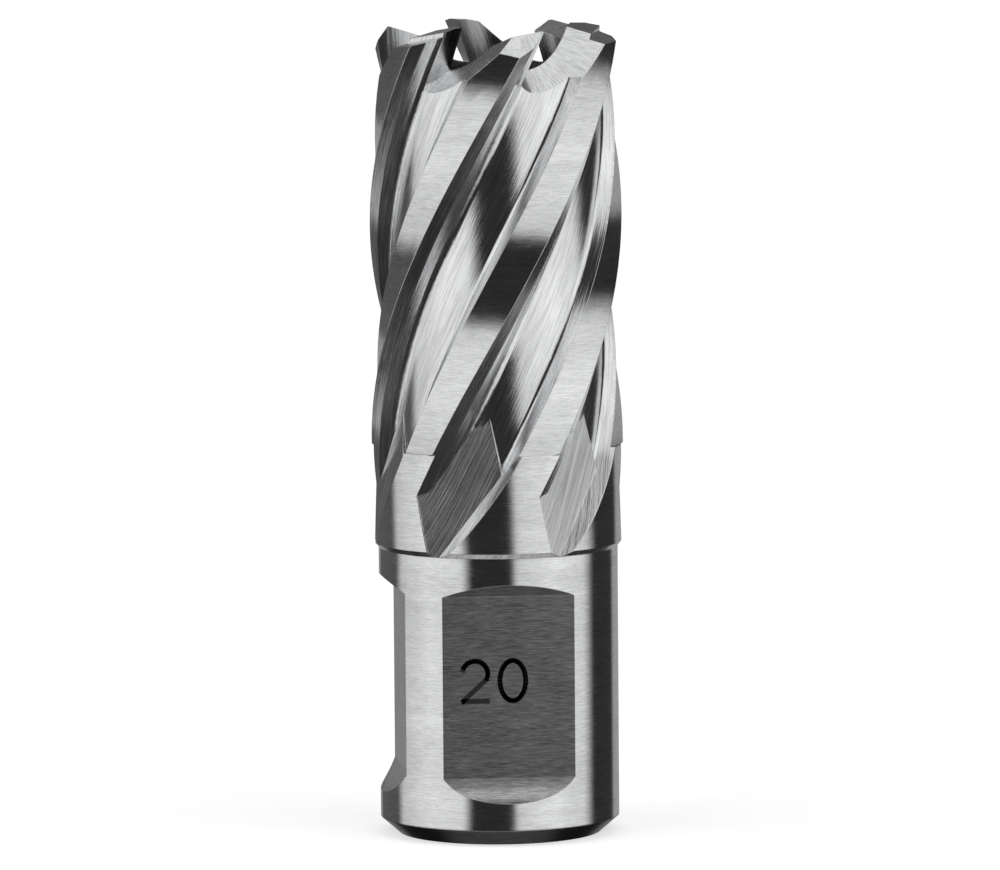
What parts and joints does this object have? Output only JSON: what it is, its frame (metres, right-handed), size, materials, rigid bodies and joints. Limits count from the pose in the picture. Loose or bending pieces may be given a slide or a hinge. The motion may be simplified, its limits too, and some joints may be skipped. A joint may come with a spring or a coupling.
{
  "type": "annular cutter",
  "caption": "Hollow core drill with right-hand helical flutes and a flatted shank, with a sliding pilot pin, for a magnetic drill press.",
  "frame": {"origin": "centre of the shank's end face, which the cutter stands on", "axes": "+Z along the axis from the shank to the teeth, the two driving flats face -Y and -X"},
  "size_m": [0.02, 0.02, 0.0645],
  "materials": {
    "tool_steel": "ground bright high-speed steel",
    "pin_steel": "ground steel pin"
  },
  "bodies": {
    "cutter": {"annular_cutter": "tool_steel"},
    "pin": {"pilot_pin": "pin_steel"}
  },
  "joints": [
    {"name": "pin_slide", "type": "slide", "parent": "cutter", "child": "pin", "axis": [0, 0, 1], "range_m": [0, 0.012]}
  ]
}
